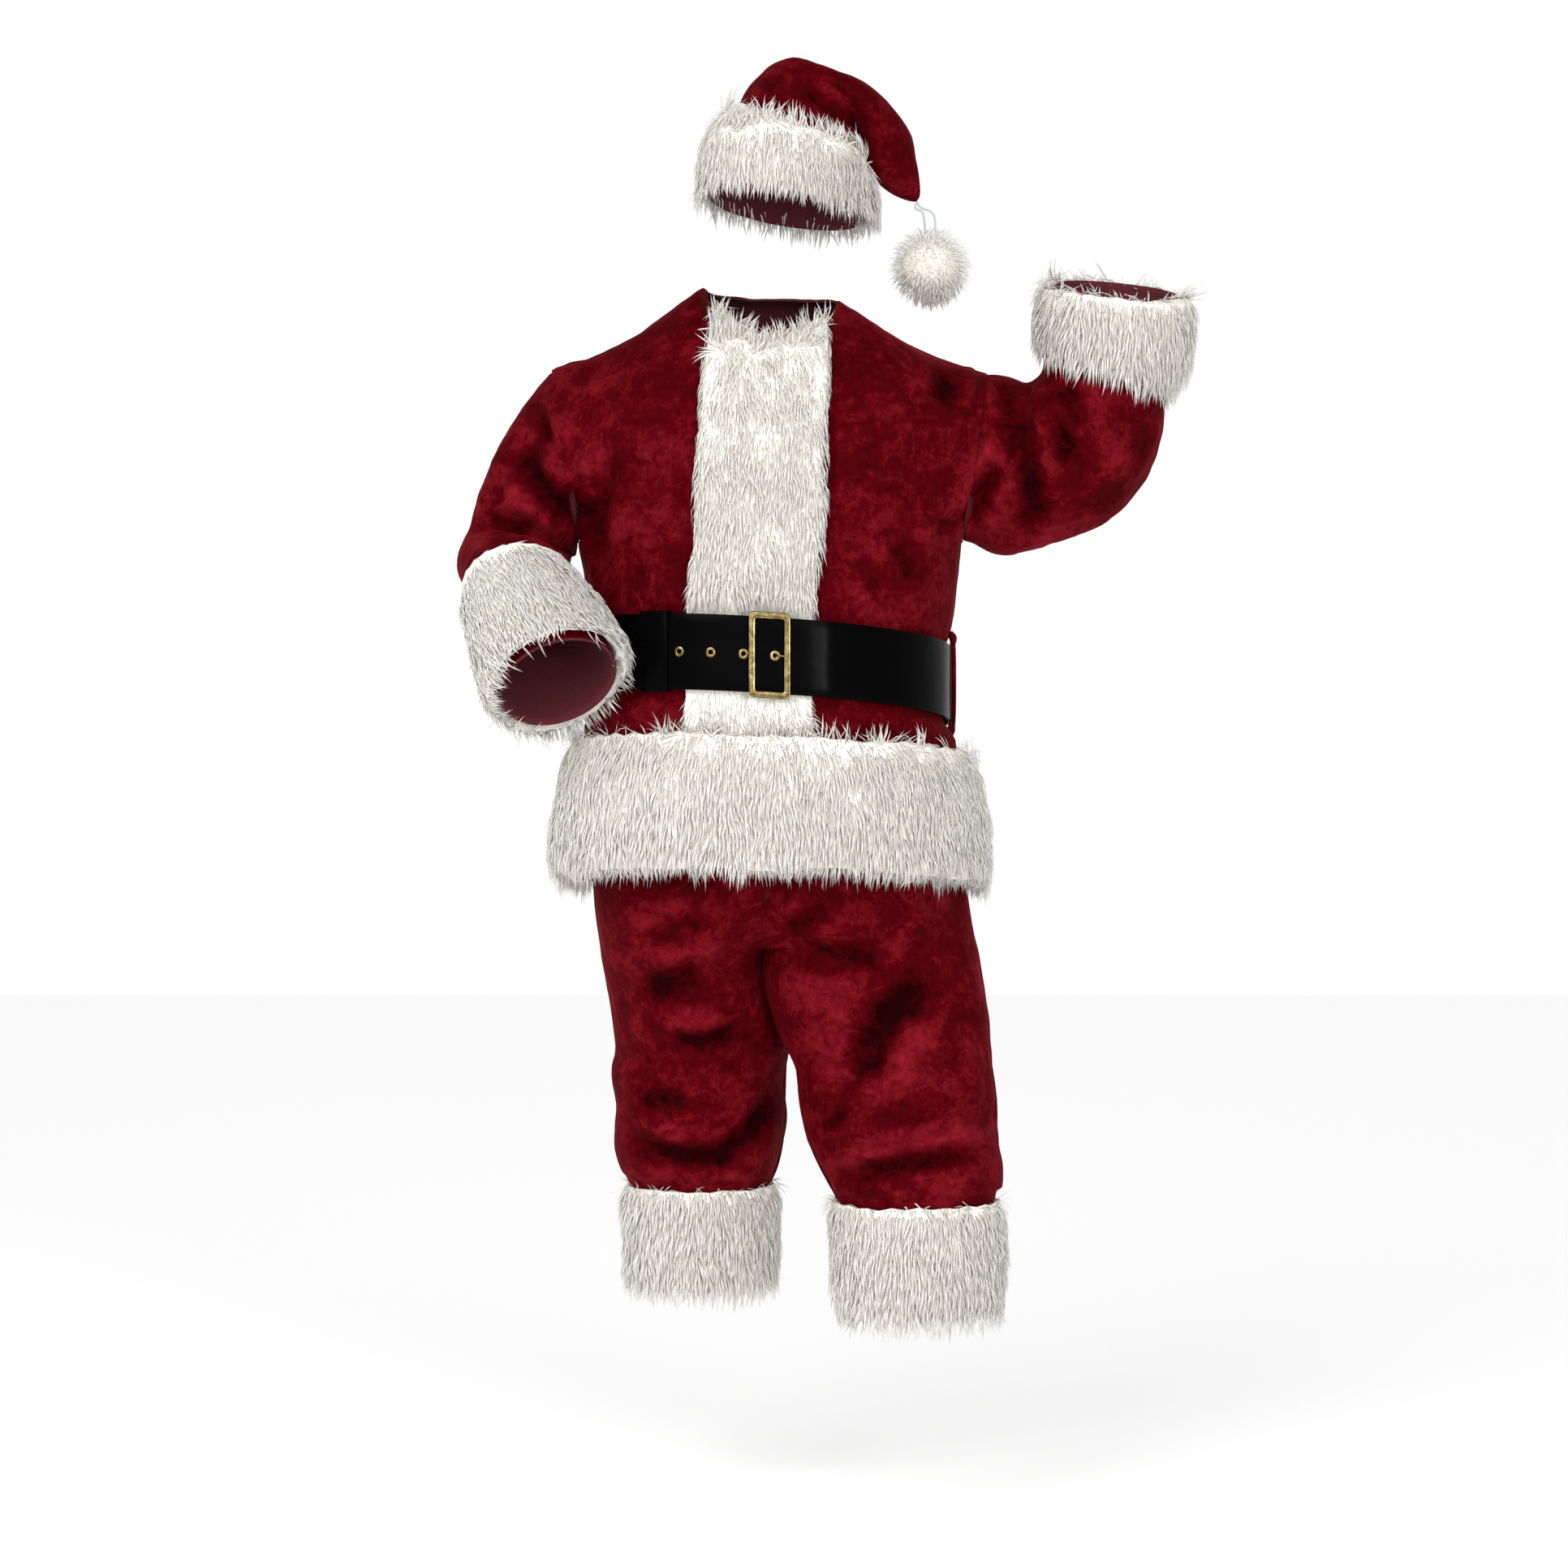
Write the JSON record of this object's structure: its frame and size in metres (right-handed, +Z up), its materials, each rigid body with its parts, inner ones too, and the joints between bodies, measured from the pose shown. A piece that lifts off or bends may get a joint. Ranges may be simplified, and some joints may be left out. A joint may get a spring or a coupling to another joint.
{
  "type": "santa suit",
  "caption": "Crimson plush jacket, trousers and drooping hat with white fur trims, a pompom and a wide glossy belt with a brass buckle.",
  "frame": {"origin": "between the jacket's shoulders at the foot of the neck, 1.55 m above the floor under the wearer", "axes": "+Z up, the suit's front faces -Y, +X to the right seen from the front"},
  "size_m": [0.9792, 0.5418, 1.6766],
  "materials": {
    "plush": "crimson velour plush with a short crushed nap",
    "fur": "long-pile off-white faux fur",
    "patent": "glossy black patent",
    "brass": "dark aged brass, softly polished",
    "cord": "pale blue-grey twisted thread"
  },
  "bodies": {
    "root": {"jacket_front_left": "plush", "jacket_front_right": "plush", "jacket_back": "plush", "sleeve_left": "plush", "sleeve_right": "plush", "sleeve_cuff_left": "fur", "sleeve_cuff_right": "fur", "hem_fur": "fur", "placket_fur": "fur", "trouser_front_left": "plush", "trouser_back_left": "plush", "trouser_front_right": "plush", "trouser_back_right": "plush", "leg_cuff_left": "fur", "leg_cuff_right": "fur", "hat_crown": "plush", "hat_band_fur": "fur", "pompom": "fur", "pompom_loop": "cord", "belt_strap": "patent", "belt_keeper": "patent", "eyelet_1": "brass", "eyelet_2": "brass", "eyelet_3": "brass", "eyelet_4": "brass", "eyelet_5": "brass", "buckle_frame": "brass", "buckle_prong": "brass", "belt_carrier_left": "plush", "belt_carrier_right": "plush"}
  },
  "joints": []
}
